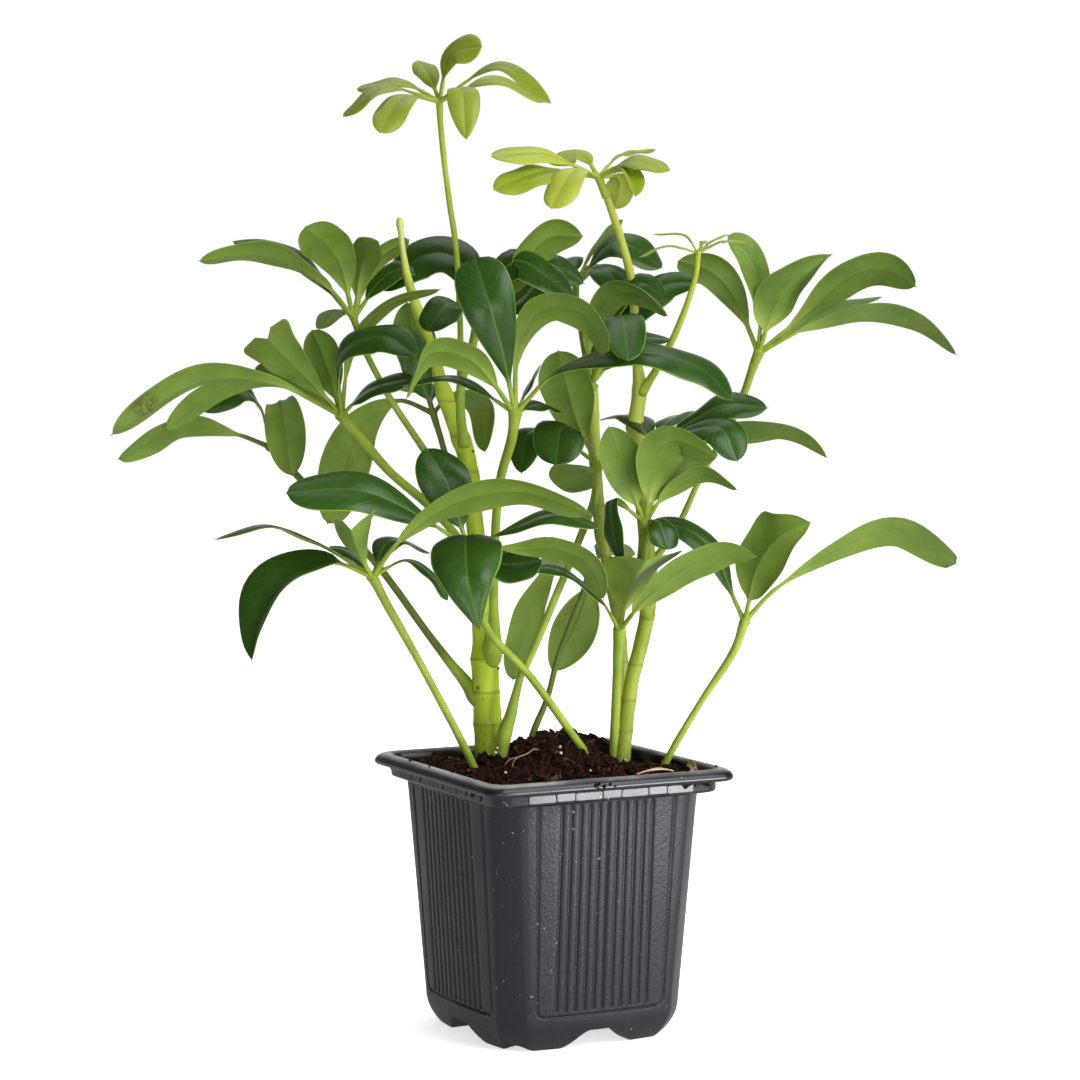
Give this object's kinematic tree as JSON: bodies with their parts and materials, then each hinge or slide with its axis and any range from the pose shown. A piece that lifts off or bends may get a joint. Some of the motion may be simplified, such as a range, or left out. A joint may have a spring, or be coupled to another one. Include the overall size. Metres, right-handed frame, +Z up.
{
  "type": "potted umbrella plant",
  "caption": "Young umbrella plant: rooted cuttings with whorled, arching leaves standing in the soil of a square ribbed nursery pot.",
  "frame": {"origin": "on the floor under the middle of the pot, which is also under the middle of the whole plant", "axes": "+Z up; X and Y square to the pot's sides; seen from the camera the plant is turned 28 degrees from -Y"},
  "size_m": [0.2829, 0.1862, 0.3602],
  "materials": {
    "pot_plastic": "satin near-black",
    "soil": "moist crumbly potting mix",
    "green_stem": "smooth green bark",
    "leaf": "glossy waxy leaf",
    "young_leaf": "soft glossy young leaf"
  },
  "bodies": {
    "root": {"pot": "pot_plastic", "soil": "soil", "stem_left": "green_stem", "stem_middle": "green_stem", "stem_right": "green_stem", "frond_top": "young_leaf", "frond_top_right": "young_leaf", "frond_new": "young_leaf", "frond_upper_left": "leaf", "frond_crown_left": "leaf", "frond_left": "leaf", "frond_far_left": "leaf", "frond_inner_left": "leaf", "frond_centre": "leaf", "frond_crown_middle": "leaf", "frond_back_middle": "leaf", "frond_upper_right": "leaf", "frond_right_back": "leaf", "frond_right": "leaf", "frond_low_middle": "leaf", "frond_low_right": "leaf", "frond_low_left": "leaf", "frond_front": "leaf", "frond_low_back": "leaf", "frond_inner_middle": "leaf"}
  },
  "joints": []
}
